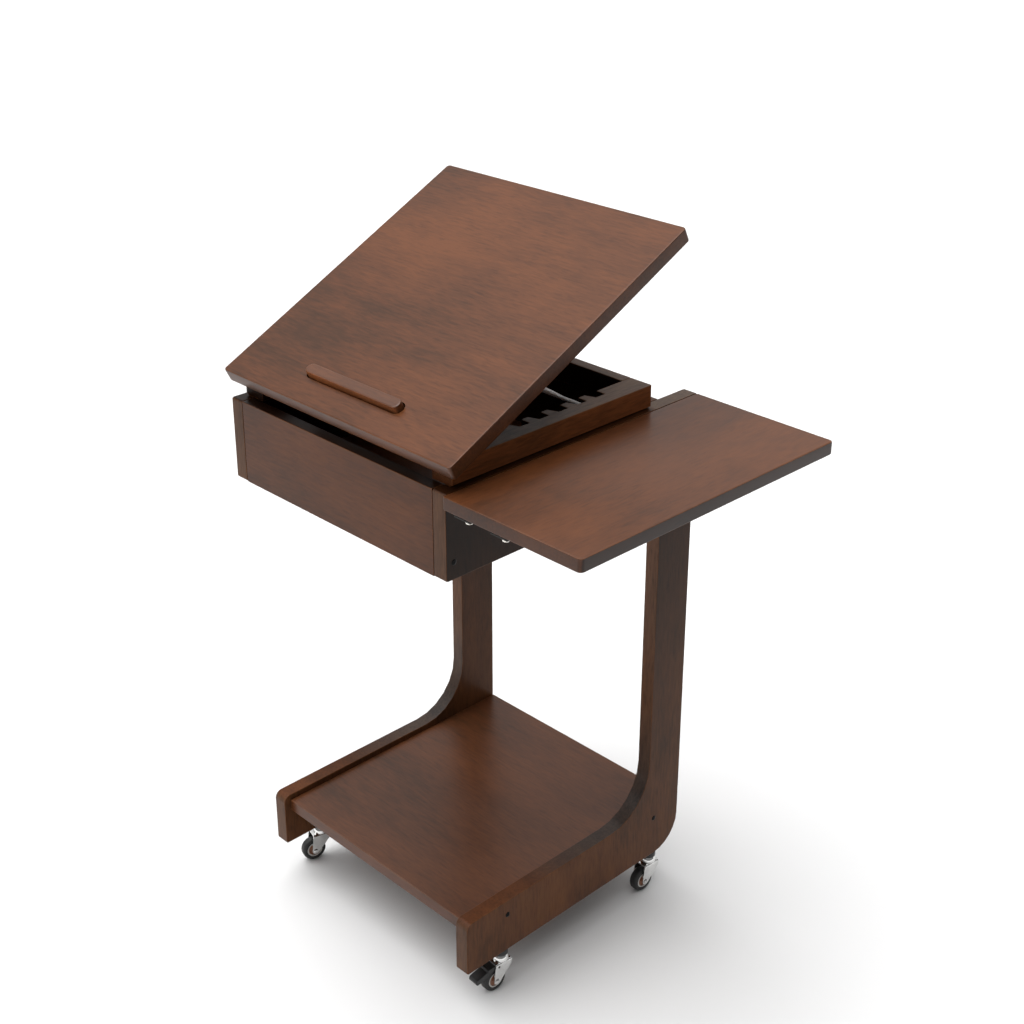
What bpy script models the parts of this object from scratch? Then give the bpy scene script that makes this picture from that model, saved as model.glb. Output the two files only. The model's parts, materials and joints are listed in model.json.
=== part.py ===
"""C-shaped end table on casters, with a tilting top, a folding side leaf and a low shelf.

Two C-shaped side frames stand on four casters. They carry the shelf between their runners
and a shallow open box between their upper arms. A notched frame on the box holds the wire
prop of the tilting board, and a leaf folds down on the right side.

Metres, +Z up. Inside the table frame, X runs from the left outer face to the right, Y from
the front of the box to the back, and Z up from the floor.
"""

import math

import bmesh
import bpy
from mathutils import Matrix, Vector

# General clearances and easing
GAP = 0.0003
WOOD_EASE = 0.0010
CUT_PAST = 0.002
ARC_STEP = math.radians(15)
SMALL_ARC = 0.0062
SMALL_ARC_STEP = math.radians(30)
EASE_LIMIT = math.radians(35)
SMOOTH_LIMIT = math.radians(32)
ROLL_START = math.radians(90)
ROLL_END = math.radians(330)

# Side frames
TABLE_WIDTH = 0.340
TABLE_DEPTH = 0.366
TABLE_HEIGHT = 0.638
FRAME_THICK = 0.018
FLOOR_CLEAR = 0.052
RUNNER_HEIGHT = 0.067
RUNNER_FRONT = 0.020
LEG_DEPTH = 0.054
BOX_HEIGHT = 0.094
HEEL_RADIUS = 0.040
KNEE_RADIUS = 0.065
ARMPIT_RADIUS = 0.040
NOSE_RADIUS = 0.009
CORNER_RADIUS = 0.0025

# Shelf and box panels
SHELF_THICK = 0.015
SHELF_DROP = 0.007
SHELF_SETBACK = 0.009
FRONT_THICK = 0.015
BACK_THICK = 0.0125
BACK_SETBACK = 0.0435
BOTTOM_THICK = 0.006
BOTTOM_RAISE = 0.006

# Notched frame on the box
RAIL_INSET = 0.006
RAIL_FRONT = 0.015
RAIL_LENGTH = 0.2824
RAIL_WIDTH = 0.029
RAIL_HEIGHT = 0.0262
REAR_RAIL_WIDTH = 0.0138
FRONT_RAIL_WIDTH = 0.014
FRONT_RAIL_SETBACK = 0.045
SHADOW_HEIGHT = 0.002
SHADOW_DEPTH = 0.003
NOTCH_COUNT = 5
NOTCH_PITCH = 0.0274
NOTCH_DEPTH = 0.012
NOTCH_FLOOR = 0.0135
NOTCH_SLANT = 0.0045
FIRST_NOTCH = 0.0536

# Tilting board, its hinges and the stop bar
BOARD_OVERHANG = 0.009
BOARD_DEPTH = 0.366
BOARD_THICK = 0.0165
BOARD_NOSE = 0.0256
BOARD_CORNER = 0.004
BOARD_EASE = 0.0015
BOARD_REST = 0.0004
BOARD_TILT = math.radians(26.6)
AXIS_SETBACK = 0.0131
HINGE_WIDTH = 0.018
HINGE_REACH = 0.0145
HINGE_SHEET = 0.0014
HINGE_EYE = 0.0011
HINGE_PIN = 0.0008
HINGE_KNUCKLE = 0.0058
DIP_SLOPE = math.radians(40)
STOP_LENGTH = 0.145
STOP_WIDTH = 0.013
STOP_RAISED = 0.0075
STOP_HEIGHT = 0.0262
STOP_FROM_FRONT = 0.039
STOP_CLEAR = 0.0018
STOP_ROUND = 0.0014
HOUSING_WALL = 0.0055
HOUSING_DEPTH = 0.012
HOUSING_FLOOR = 0.0015
HOUSING_CLEAR = 0.0005

# Wire prop under the board
NOTCH_COUNT_TO_PROP = 2
PROP_REACH = 0.114
BAR_RADIUS = 0.002
BAR_DROP = 0.0035
BAR_FROM_WALL = 0.006
BAR_END_GAP = 0.003
BAR_OVERHANG = 0.016
WIRE_RADIUS = 0.00125
WIRE_BEND = 0.003
PIVOT_LENGTH = 0.014
BRACKET_WIDTH = 0.008
BRACKET_REACH = 0.018
BRACKET_SHEET = 0.0012
BRACKET_CLEAR = 0.00035
BAR_SIDES = 12
WIRE_SIDES = 8

# Side leaf and its hinges
LEAF_WIDTH = 0.179
LEAF_FRONT = -0.004
LEAF_DEPTH = 0.369
LEAF_THICK = 0.0142
LEAF_GAP = 0.0005
LEAF_CORNER = 0.005
LEAF_EASE = 0.0012
FLAP_SHEET = 0.002
FLAP_EYE = 0.0015
FLAP_PIN = 0.0012
FLAP_LENGTH = 0.036
FLAP_FROM_EDGE = 0.024
FLAP_DROP = 0.012
STRAP_WIDTH = 0.018
STRAP_REACH = 0.083
EAR_FIRST = 0.016
EAR_SPACING = 0.049
EAR_WIDTH = 0.022
EAR_THIN = 0.0001
EAR_FROM_EDGE = 0.0006
DOME_RADIUS = 0.0045
DOME_HEIGHT = 0.0042
DOME_FROM_EDGE = 0.0052
DOME_ALONG_EAR = 0.016
DOME_STEPS = (0, math.radians(30), math.radians(60))

# Casters
CASTER_FRONT = 0.078
CASTER_BACK = 0.326
CASTER_TRAIL = 0.011
CASTER_YAW = {
    "front_left": math.radians(-16),
    "front_right": math.radians(-4),
    "rear_left": math.radians(-8),
    "rear_right": math.radians(-4),
}
BRAKED = ("front_right", "rear_left")
TYRE_RADIUS = 0.015
TYRE_WIDTH = 0.011
TYRE_SHOULDER = 0.003
TYRE_WALL = 0.005
HUB_RIM = 0.0016
HUB_RIM_WIDTH = 0.0104
HUB_WEB = 0.0060
HUB_BOSS = 0.0038
HUB_SIDE_CLEAR = 0.0004
FORK_SHEET = 0.0014
FORK_INNER = 0.0144
FORK_TOP = 0.0373
FORK_FRONT = 0.0125
FORK_BACK = 0.0095
FORK_TOE = 0.0045
FORK_TOE_START = math.radians(170)
FORK_TOE_END = math.radians(325)
FORK_SHOULDER = 0.0311
FORK_BEND = 0.0021
FORK_INNER_BEND = 0.0007
AXLE_RADIUS = 0.0016
AXLE_HEAD = 0.0028
AXLE_HEAD_HEIGHT = 0.0012
AXLE_HEAD_TIP = 0.0017
DOME_RING_RADIUS = 0.0094
DOME_RING_HEIGHT = 0.0074
DOME_RING_TOP = 0.0068
DOME_RING_SHOULDER = 0.0086
DOME_SHOULDER_RISE = 0.0049
DOME_SIDE_RISE = 0.0019
CAP_RADIUS = 0.0088
STEM_RADIUS = 0.004
STEM_LENGTH = 0.024
KING_PIN = 0.0022
KING_HEAD = 0.0036
KING_HEAD_HEIGHT = 0.0012
KING_HEAD_TIP = 0.0029
PEDAL_CLEAR = 0.0006
PEDAL_PIVOT = (-0.0085, 0.0332)
PEDAL_TRUNNION = 0.0012
PEDAL_REACH = 0.031
PEDAL_TIP_LOW = 0.0107
PEDAL_TIP_HIGH = 0.0045
PEDAL_LIP = 0.0014
PEDAL_STEP = 0.014
SHOE_START = math.radians(142)
SHOE_END = math.radians(75)
WHEEL_SIDES = 24
HEAD_SIDES = 20
RIVET_SIDES = 12
PIN_SIDES = 10

# Heights and places that follow from the sizes above
LEG_FRONT = TABLE_DEPTH - LEG_DEPTH
BOX_BOTTOM = TABLE_HEIGHT - BOX_HEIGHT
RUNNER_TOP = FLOOR_CLEAR + RUNNER_HEIGHT
INNER_LEFT = FRAME_THICK + GAP
INNER_RIGHT = TABLE_WIDTH - FRAME_THICK - GAP
SHELF_TOP = RUNNER_TOP - SHELF_DROP
BACK_REAR = TABLE_DEPTH - BACK_SETBACK
RAIL_BOTTOM = TABLE_HEIGHT + GAP
RAIL_TOP = RAIL_BOTTOM + RAIL_HEIGHT
RAIL_REAR = RAIL_FRONT + RAIL_LENGTH
BOARD_AXIS = Vector((0.0, RAIL_FRONT + AXIS_SETBACK, RAIL_TOP + BOARD_REST / 2))
BARREL = HINGE_EYE + HINGE_SHEET
LEAF_LEFT = TABLE_WIDTH + LEAF_GAP
LEAF_UNDER = TABLE_HEIGHT - LEAF_THICK
FLAP_BARREL = FLAP_EYE + FLAP_SHEET
FLAP_AXIS = Vector((TABLE_WIDTH + GAP + FLAP_BARREL, 0.0, LEAF_UNDER - GAP - FLAP_BARREL))
CENTRE_X = (LEAF_LEFT + LEAF_WIDTH - BOARD_OVERHANG) / 2
CENTRE_Y = (LEAF_FRONT + TABLE_DEPTH) / 2

X_AXIS = Vector((1, 0, 0))
Y_AXIS = Vector((0, 1, 0))
Z_AXIS = Vector((0, 0, 1))


def clear_scene():
    for item in list(bpy.data.objects):
        bpy.data.objects.remove(item, do_unlink=True)


def principled(name, colour, roughness, metallic=0.0):
    material = bpy.data.materials.new(name)
    material.use_nodes = True
    shader = material.node_tree.nodes["Principled BSDF"]
    shader.inputs["Base Color"].default_value = (*colour, 1.0)
    shader.inputs["Roughness"].default_value = roughness
    shader.inputs["Metallic"].default_value = metallic
    return material


def empty(name, location, parent=None, rotation=(0, 0, 0)):
    item = bpy.data.objects.new(name, None)
    bpy.context.collection.objects.link(item)
    item.location = location
    item.rotation_euler = rotation
    item.parent = parent
    return item


def solid(name, bm, material, parent, location=(0, 0, 0), rotation=(0, 0, 0)):
    """Turns a bmesh into a named object with outward faces and smooth round parts."""
    bmesh.ops.recalc_face_normals(bm, faces=bm.faces)
    mesh = bpy.data.meshes.new(name)
    bm.to_mesh(mesh)
    bm.free()
    mesh.shade_smooth()
    mesh.set_sharp_from_angle(angle=SMOOTH_LIMIT)
    mesh.materials.append(material)
    item = bpy.data.objects.new(name, mesh)
    bpy.context.collection.objects.link(item)
    item.location = location
    item.rotation_euler = rotation
    item.parent = parent
    return item


def arc(centre, radius, start, end):
    """Points on an arc from one angle to another, both ends included."""
    step = ARC_STEP if radius > SMALL_ARC else SMALL_ARC_STEP
    steps = max(2, round(abs(end - start) / step))
    angles = [start + (end - start) * i / steps for i in range(steps + 1)]
    return [(centre[0] + radius * math.cos(a), centre[1] + radius * math.sin(a)) for a in angles]


def rounded(corners):
    """Outline through (u, v, radius) corners, each turned into an arc of its radius."""
    points = []
    for index, (u, v, radius) in enumerate(corners):
        here = Vector((u, v))
        if radius == 0:
            points.append((u, v))
            continue
        back = (Vector(corners[index - 1][:2]) - here).normalized()
        ahead = (Vector(corners[(index + 1) % len(corners)][:2]) - here).normalized()
        half = back.angle(ahead) / 2
        centre = here + (back + ahead).normalized() * (radius / math.sin(half))
        start = here + back * (radius / math.tan(half)) - centre
        end = here + ahead * (radius / math.tan(half)) - centre
        first = math.atan2(start.y, start.x)
        turn = math.atan2(end.y, end.x) - first
        turn = (turn + math.pi) % (2 * math.pi) - math.pi
        points += arc(centre, radius, first, first + turn)
    return points


def stadium(length, width):
    """Oblong outline with round ends, centred, long side along the first axis."""
    radius = width / 2
    reach = length / 2 - radius
    right = arc((reach, 0), radius, -math.pi / 2, math.pi / 2)
    left = arc((-reach, 0), radius, math.pi / 2, 3 * math.pi / 2)
    return right + left


def prism(points, low, high, along, u_axis, v_axis, origin=Vector()):
    """Outline in the plane of two axes, extruded along a third."""
    bm = bmesh.new()
    base = [bm.verts.new(origin + u_axis * u + v_axis * v + along * low) for u, v in points]
    face = bm.faces.new(base)
    extruded = bmesh.ops.extrude_face_region(bm, geom=[face])
    moved = [g for g in extruded["geom"] if isinstance(g, bmesh.types.BMVert)]
    bmesh.ops.translate(bm, verts=moved, vec=along * (high - low))
    return bm


def side_prism(points, low, high):
    """Prism with its outline in Y and Z, extruded along X."""
    return prism(points, low, high, X_AXIS, Y_AXIS, Z_AXIS)


def plan_prism(points, low, high):
    """Prism with its outline in X and Y, extruded along Z."""
    return prism(points, low, high, Z_AXIS, X_AXIS, Y_AXIS)


def block(x0, x1, y0, y1, z0, z1):
    return plan_prism([(x0, y0), (x1, y0), (x1, y1), (x0, y1)], z0, z1)


def turned(profile, sides, along=Z_AXIS, ring=False):
    """Profile of (radius, height) points spun about an axis; a ring closes on itself."""
    bm = bmesh.new()
    verts = [bm.verts.new((radius, 0, height)) for radius, height in profile]
    pairs = list(zip(verts, verts[1:]))
    if ring:
        pairs.append((verts[-1], verts[0]))
    for a, b in pairs:
        bm.edges.new((a, b))
    geometry = bm.verts[:] + bm.edges[:]
    bmesh.ops.spin(bm, geom=geometry, axis=Z_AXIS, angle=2 * math.pi, steps=sides, use_merge=True)
    bmesh.ops.remove_doubles(bm, verts=bm.verts, dist=1e-6)
    turn = Z_AXIS.rotation_difference(along).to_matrix()
    bmesh.ops.rotate(bm, verts=bm.verts, cent=(0, 0, 0), matrix=turn)
    return bm


def rod(radius, low, high, sides=PIN_SIDES, along=Z_AXIS):
    return turned([(0, low), (radius, low), (radius, high), (0, high)], sides, along)


def wire(points, radius, sides, across):
    """Round wire along a flat path, with flat ends; across is the normal of the path's plane."""
    bm = bmesh.new()
    rings = []
    for index, point in enumerate(points):
        steps = []
        if index:
            steps.append((point - points[index - 1]).normalized())
        if index + 1 < len(points):
            steps.append((points[index + 1] - point).normalized())
        ahead = sum(steps, Vector()).normalized()
        stretch = 1 / ahead.dot(steps[0])
        out = ahead.cross(across).normalized() * stretch
        angles = [2 * math.pi * k / sides for k in range(sides)]
        ring = [point + (out * math.cos(a) + across * math.sin(a)) * radius for a in angles]
        rings.append([bm.verts.new(p) for p in ring])
    for one, two in zip(rings, rings[1:]):
        for k in range(sides):
            bm.faces.new((one[k - 1], one[k], two[k], two[k - 1]))
    bm.faces.new(rings[0])
    bm.faces.new(rings[-1])
    return bm


def rolled_sheet(reach, eye, sheet):
    """Outline of a flat plate whose end is rolled round a pin at the origin."""
    outer = arc((0, 0), eye + sheet, ROLL_START, ROLL_END)
    inner = arc((0, 0), eye, ROLL_END, ROLL_START)
    return [(reach, eye + sheet)] + outer + inner + [(reach, eye)]


def boolean(target, tool, operation):
    """Adds a Boolean modifier; the tool itself stays out of the model."""
    tool.hide_render = True
    tool.display_type = "WIRE"
    modifier = target.modifiers.new(tool.name, "BOOLEAN")
    modifier.operation = operation
    modifier.solver = "EXACT"
    modifier.object = tool


def cut(target, name, bm):
    tool = solid(name, bm, target.data.materials[0], target.parent)
    tool.location = target.location
    tool.rotation_euler = target.rotation_euler
    boolean(target, tool, "DIFFERENCE")


def add(target, name, bm):
    tool = solid(name, bm, target.data.materials[0], target.parent)
    tool.location = target.location
    tool.rotation_euler = target.rotation_euler
    boolean(target, tool, "UNION")


def ease(item, width, segments=2):
    """Rounds the sharp edges of a piece."""
    bevel = item.modifiers.new("ease", "BEVEL")
    bevel.limit_method = "ANGLE"
    bevel.angle_limit = EASE_LIMIT
    bevel.width = width
    bevel.segments = segments


def make_side_frame(name, left, table, wood):
    """C-shaped board: runner below, upright at the back, side of the box above."""
    corners = [
        (RUNNER_FRONT, FLOOR_CLEAR, CORNER_RADIUS),
        (TABLE_DEPTH, FLOOR_CLEAR, HEEL_RADIUS),
        (TABLE_DEPTH, TABLE_HEIGHT, CORNER_RADIUS),
        (0, TABLE_HEIGHT, CORNER_RADIUS),
        (0, BOX_BOTTOM, CORNER_RADIUS),
        (LEG_FRONT, BOX_BOTTOM, ARMPIT_RADIUS),
        (LEG_FRONT, RUNNER_TOP, KNEE_RADIUS),
        (RUNNER_FRONT, RUNNER_TOP, NOSE_RADIUS),
    ]
    frame = solid(name, side_prism(rounded(corners), left, left + FRAME_THICK), wood, table)
    ease(frame, WOOD_EASE)
    for end, place in (("front", CASTER_FRONT), ("back", CASTER_BACK)):
        bore = rod(STEM_RADIUS + GAP, FLOOR_CLEAR - CUT_PAST, FLOOR_CLEAR + STEM_LENGTH + GAP)
        bmesh.ops.translate(bore, verts=bore.verts, vec=(left + FRAME_THICK / 2, place, 0))
        cut(frame, f"{name}_{end}_stem_bore", bore)


def make_panels(table, wood):
    """Shelf between the runners, and the front, back and bottom of the box."""
    shelf_low = SHELF_TOP - SHELF_THICK
    bottom_low = BOX_BOTTOM + BOTTOM_RAISE
    back_front = BACK_REAR - BACK_THICK
    panels = {
        "shelf": (RUNNER_FRONT + SHELF_SETBACK, TABLE_DEPTH, shelf_low, SHELF_TOP),
        "front_panel": (0, FRONT_THICK, BOX_BOTTOM, TABLE_HEIGHT),
        "back_panel": (back_front, BACK_REAR, BOX_BOTTOM, TABLE_HEIGHT),
        "box_bottom": (FRONT_THICK + GAP, back_front - GAP, bottom_low, bottom_low + BOTTOM_THICK),
    }
    for name, (front, back, low, high) in panels.items():
        panel = solid(name, block(INNER_LEFT, INNER_RIGHT, front, back, low, high), wood, table)
        ease(panel, WOOD_EASE)


def notch_wall(number):
    """Rear wall of a notch, counted from the back."""
    return RAIL_REAR - FIRST_NOTCH - (number - 1) * NOTCH_PITCH


def make_side_rail(name, outer, inward, table, wood):
    """Rail with a row of notches on its inner edge; inward is +1 on the left, -1 on the right."""
    inner = outer + inward * RAIL_WIDTH
    floor = inner - inward * NOTCH_DEPTH
    points = [(outer, RAIL_FRONT), (outer, RAIL_REAR), (inner, RAIL_REAR)]
    for number in range(1, NOTCH_COUNT + 1):
        wall = notch_wall(number)
        points += [(inner, wall), (floor, wall), (floor, wall - NOTCH_FLOOR)]
        points.append((inner, wall - NOTCH_FLOOR - NOTCH_SLANT))
    points.append((inner, RAIL_FRONT))
    rail = solid(name, plan_prism(points, RAIL_BOTTOM, RAIL_TOP), wood, table)
    ease(rail, WOOD_EASE / 2, 1)
    middle = outer + inward * RAIL_WIDTH / 2
    cut(rail, f"{name}_dip", dip_wedge(middle))
    cut(rail, f"{name}_mortise", rail_mortise(middle))
    edge = sorted((outer - inward * CUT_PAST, outer + inward * SHADOW_DEPTH))
    ends = (RAIL_FRONT - CUT_PAST, RAIL_REAR + CUT_PAST)
    shadow = block(*edge, *ends, RAIL_BOTTOM - CUT_PAST, RAIL_BOTTOM + SHADOW_HEIGHT)
    cut(rail, f"{name}_shadow_line", shadow)


def dip_wedge(middle):
    """Slope at a rail's front end that leaves room for the hinge barrel and the board's front."""
    clear = BARREL + 2 * GAP
    top = RAIL_TOP + CUT_PAST
    front = RAIL_FRONT - CUT_PAST
    foot = BOARD_AXIS.z - clear / math.cos(DIP_SLOPE) - (BOARD_AXIS.y - front) * math.tan(DIP_SLOPE)
    back = front + (top - foot) / math.tan(DIP_SLOPE)
    half = RAIL_WIDTH / 2 + CUT_PAST
    return side_prism([(front, foot), (back, top), (front, top)], middle - half, middle + half)


def rail_mortise(middle):
    """Shallow seat for a hinge's frame plate."""
    half = HINGE_WIDTH / 2 + GAP
    front = BOARD_AXIS.y
    back = front + HINGE_REACH + GAP
    floor = BOARD_AXIS.z - BARREL - GAP
    return block(middle - half, middle + half, front, back, floor, RAIL_TOP + CUT_PAST)


def make_cross_rails(table, wood):
    left = RAIL_INSET + RAIL_WIDTH + GAP
    right = TABLE_WIDTH - left
    front = RAIL_FRONT + FRONT_RAIL_SETBACK
    rails = {
        "rail_rear": (RAIL_REAR - REAR_RAIL_WIDTH, RAIL_REAR),
        "rail_front": (front, front + FRONT_RAIL_WIDTH),
    }
    for name, (near, far) in rails.items():
        rail = solid(name, block(left, right, near, far, RAIL_BOTTOM, RAIL_TOP), wood, table)
        ease(rail, WOOD_EASE / 2, 1)


def hinge_middles():
    """Places of the two board hinges, over the middles of the side rails."""
    middle = RAIL_INSET + RAIL_WIDTH / 2
    return {"left": middle, "right": TABLE_WIDTH - middle}


def make_board(board_axis, wood):
    """Tilting board, in the frame of its hinge axis: Y along the board, Z out of its top."""
    low = BOARD_REST / 2
    corners = [
        (-BOARD_OVERHANG, -BOARD_NOSE, BOARD_CORNER),
        (TABLE_WIDTH + BOARD_OVERHANG, -BOARD_NOSE, BOARD_CORNER),
        (TABLE_WIDTH + BOARD_OVERHANG, BOARD_DEPTH - BOARD_NOSE, BOARD_CORNER),
        (-BOARD_OVERHANG, BOARD_DEPTH - BOARD_NOSE, BOARD_CORNER),
    ]
    board = solid("tilt_board", plan_prism(rounded(corners), low, low + BOARD_THICK), wood, board_axis)
    ease(board, BOARD_EASE)
    slot = stadium(STOP_LENGTH + 2 * STOP_CLEAR, STOP_WIDTH + 2 * STOP_CLEAR)
    slot = plan_prism([stop_place(u, v) for u, v in slot], low - CUT_PAST, low + BOARD_THICK + CUT_PAST)
    cut(board, "stop_slot", slot)
    half = HINGE_WIDTH / 2 + GAP
    for side, middle in hinge_middles().items():
        reach = (-BARREL - GAP, HINGE_REACH + GAP)
        seat = block(middle - half, middle + half, *reach, low - CUT_PAST, BARREL + GAP)
        cut(board, f"board_hinge_seat_{side}", seat)


def stop_place(u, v):
    """A point of the stop bar's outline, moved to the bar's place on the board."""
    return u + TABLE_WIDTH / 2, v + STOP_FROM_FRONT - BOARD_NOSE


def make_stop(board_axis, wood, plastic):
    """Pop-up stop bar in the board's slot, and the housing below that it sinks into."""
    top = BOARD_REST / 2 + BOARD_THICK + STOP_RAISED
    outline = [stop_place(u, v) for u, v in stadium(STOP_LENGTH, STOP_WIDTH)]
    bar = solid("stop_bar", plan_prism(outline, top - STOP_HEIGHT, top), wood, board_axis)
    ease(bar, STOP_ROUND)
    under = BOARD_REST / 2 - GAP
    pocket = stadium(STOP_LENGTH + 2 * HOUSING_CLEAR, STOP_WIDTH + 2 * HOUSING_CLEAR)
    margin = 2 * (HOUSING_CLEAR + HOUSING_WALL)
    shell = [stop_place(u, v) for u, v in stadium(STOP_LENGTH + margin, STOP_WIDTH + margin)]
    housing = solid("stop_housing", plan_prism(shell, under - HOUSING_DEPTH, under), plastic, board_axis)
    floor = under - HOUSING_DEPTH + HOUSING_FLOOR
    hollow = plan_prism([stop_place(u, v) for u, v in pocket], floor, under + CUT_PAST)
    cut(housing, "stop_housing_pocket", hollow)


def make_board_hinges(table, board_axis, steel):
    """Two butt hinges: frame plate below, board plate above, both rolled round one pin."""
    outline = rolled_sheet(HINGE_REACH, HINGE_EYE, HINGE_SHEET)
    half = HINGE_WIDTH / 2
    inner = half - HINGE_KNUCKLE
    room = BARREL + GAP
    for side, middle in hinge_middles().items():
        ends = (middle - half, middle + half)
        origin = BOARD_AXIS
        plate = prism(outline, *ends, X_AXIS, Y_AXIS, -Z_AXIS, origin)
        plate = solid(f"board_hinge_frame_plate_{side}", plate, steel, table)
        gap = block(middle - inner - GAP, middle + inner + GAP, -room - CUT_PAST, room, -room, room)
        bmesh.ops.translate(gap, verts=gap.verts, vec=origin)
        cut(plate, f"board_hinge_frame_gap_{side}", gap)
        plate = prism(outline, *ends, X_AXIS, Y_AXIS, Z_AXIS)
        plate = solid(f"board_hinge_board_plate_{side}", plate, steel, board_axis)
        for end, edge in (("a", -1), ("b", 1)):
            near, far = sorted((middle + edge * inner, middle + edge * (half + CUT_PAST)))
            gap = block(near, far, -room - CUT_PAST, room, -room, room)
            cut(plate, f"board_hinge_board_gap_{side}_{end}", gap)
        pin = rod(HINGE_PIN, *ends, along=X_AXIS)
        solid(f"board_hinge_pin_{side}", pin, steel, table, origin)


def tilted(along, out):
    """A place given along the board from its axis and out of its top, in the table frame."""
    turn = Matrix.Rotation(BOARD_TILT, 3, "X")
    return BOARD_AXIS + turn @ Vector((0, along, out))


def pivot_out():
    """Height of the prop's pivot in the board's frame: under the board by the bracket's eye."""
    return BOARD_REST / 2 - GAP - WIRE_RADIUS - BRACKET_CLEAR - BRACKET_SHEET


def prop_angle():
    """Length and lean of the prop when its crossbar lies in its notch."""
    bar_y = notch_wall(NOTCH_COUNT_TO_PROP) - BAR_FROM_WALL
    bar = Vector((0, bar_y, RAIL_TOP - BAR_DROP))
    reach = bar - tilted(PROP_REACH, pivot_out())
    return reach.length, math.atan2(reach.z, reach.y)


def bar_end():
    return RAIL_INSET + RAIL_WIDTH - NOTCH_DEPTH + BAR_END_GAP


def make_prop(table, board_axis, chrome, steel):
    """Wire prop in the frame of its pivot: Y runs from the pivot to the crossbar."""
    length, lean = prop_angle()
    pivot = empty("prop_pivot", tilted(PROP_REACH, pivot_out()), table, (lean, 0, 0))
    low = bar_end()
    bar = rod(BAR_RADIUS, low, TABLE_WIDTH - low, BAR_SIDES, X_AXIS)
    bmesh.ops.translate(bar, verts=bar.verts, vec=(0, length, 0))
    prop = solid("prop", bar, chrome, pivot)
    eye = WIRE_RADIUS + BRACKET_CLEAR
    outline = rolled_sheet(BRACKET_REACH, eye, BRACKET_SHEET)
    leg = low + BAR_OVERHANG
    for side, foot, inward in (("left", leg, 1), ("right", TABLE_WIDTH - leg, -1)):
        bend = arc((WIRE_BEND, WIRE_BEND), WIRE_BEND, math.pi, 1.5 * math.pi)
        path = [(0, length)] + bend + [(PIVOT_LENGTH, 0)]
        path = [Vector((foot + inward * u, v, 0)) for u, v in path]
        add(prop, f"prop_leg_{side}", wire(path, WIRE_RADIUS, WIRE_SIDES, Z_AXIS))
        middle = foot + inward * (PIVOT_LENGTH + WIRE_BEND) / 2
        ends = sorted((middle - BRACKET_WIDTH / 2, middle + BRACKET_WIDTH / 2))
        place = Vector((0, PROP_REACH, pivot_out()))
        bracket = prism(outline, *ends, X_AXIS, -Y_AXIS, Z_AXIS, place)
        solid(f"prop_bracket_{side}", bracket, steel, board_axis)


def make_leaf(leaf_axis, wood):
    """Side leaf, in the frame of its hinge axis."""
    left = LEAF_LEFT - FLAP_AXIS.x
    low = LEAF_UNDER - FLAP_AXIS.z
    right = left + LEAF_WIDTH
    back = LEAF_FRONT + LEAF_DEPTH
    corners = [
        (left, LEAF_FRONT, CORNER_RADIUS),
        (right, LEAF_FRONT, LEAF_CORNER),
        (right, back, LEAF_CORNER),
        (left, back, CORNER_RADIUS),
    ]
    leaf = solid("side_leaf", plan_prism(rounded(corners), low, low + LEAF_THICK), wood, leaf_axis)
    ease(leaf, LEAF_EASE)


def make_leaf_hinges(table, leaf_axis, steel):
    """Flap hinges: a plate on the box side, a long strap with two eared feet under the leaf."""
    plate_line = rolled_sheet(FLAP_DROP, FLAP_EYE, FLAP_SHEET)
    strap_line = rolled_sheet(STRAP_REACH, FLAP_EYE, FLAP_SHEET)
    half = FLAP_LENGTH / 2
    edges = {"front": (LEAF_FRONT, 1), "rear": (LEAF_FRONT + LEAF_DEPTH, -1)}
    for end, (edge, inward) in edges.items():
        middle = edge + inward * (FLAP_FROM_EDGE + half)
        ends = (middle - half, middle + half)
        plate = prism(plate_line, *ends, Y_AXIS, -Z_AXIS, -X_AXIS, FLAP_AXIS)
        plate = solid(f"leaf_hinge_plate_{end}", plate, steel, table)
        room = FLAP_BARREL + GAP
        side = STRAP_WIDTH / 2 + GAP
        gap = block(-room, room, middle - side, middle + side, -room, room + CUT_PAST)
        bmesh.ops.translate(gap, verts=gap.verts, vec=FLAP_AXIS)
        cut(plate, f"leaf_hinge_plate_gap_{end}", gap)
        make_strap(end, strap_line, edge, inward, middle, leaf_axis, steel)
        solid(f"leaf_hinge_pin_{end}", rod(FLAP_PIN, *ends, along=Y_AXIS), steel, table, FLAP_AXIS)


def make_strap(end, outline, edge, inward, middle, leaf_axis, steel):
    """Strap rolled round the hinge pin, with two feet that reach to the leaf's edge."""
    half = STRAP_WIDTH / 2
    strap = prism(outline, middle - half, middle + half, Y_AXIS, X_AXIS, Z_AXIS)
    strap = solid(f"leaf_hinge_strap_{end}", strap, steel, leaf_axis)
    low = FLAP_EYE + EAR_THIN
    high = FLAP_BARREL - EAR_THIN
    for number in (1, 2):
        left = TABLE_WIDTH - FLAP_AXIS.x + EAR_FIRST + (number - 1) * EAR_SPACING
        near, far = sorted((edge + inward * EAR_FROM_EDGE, middle))
        foot = block(left, left + EAR_WIDTH, near, far, low, high)
        add(strap, f"strap_foot_{end}_{number}", foot)
        head = turned(dome(low), RIVET_SIDES)
        place = (left + DOME_ALONG_EAR, edge + inward * DOME_FROM_EDGE, 0)
        bmesh.ops.translate(head, verts=head.verts, vec=place)
        add(strap, f"strap_screw_{end}_{number}", head)


def dome(base):
    """Profile of a dome screw head that hangs below a plate."""
    inside = base + FLAP_SHEET / 2
    curve = [(DOME_RADIUS * math.cos(a), base - DOME_HEIGHT * math.sin(a)) for a in DOME_STEPS]
    return [(0, inside), (DOME_RADIUS, inside)] + curve + [(0, base - DOME_HEIGHT)]


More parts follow.
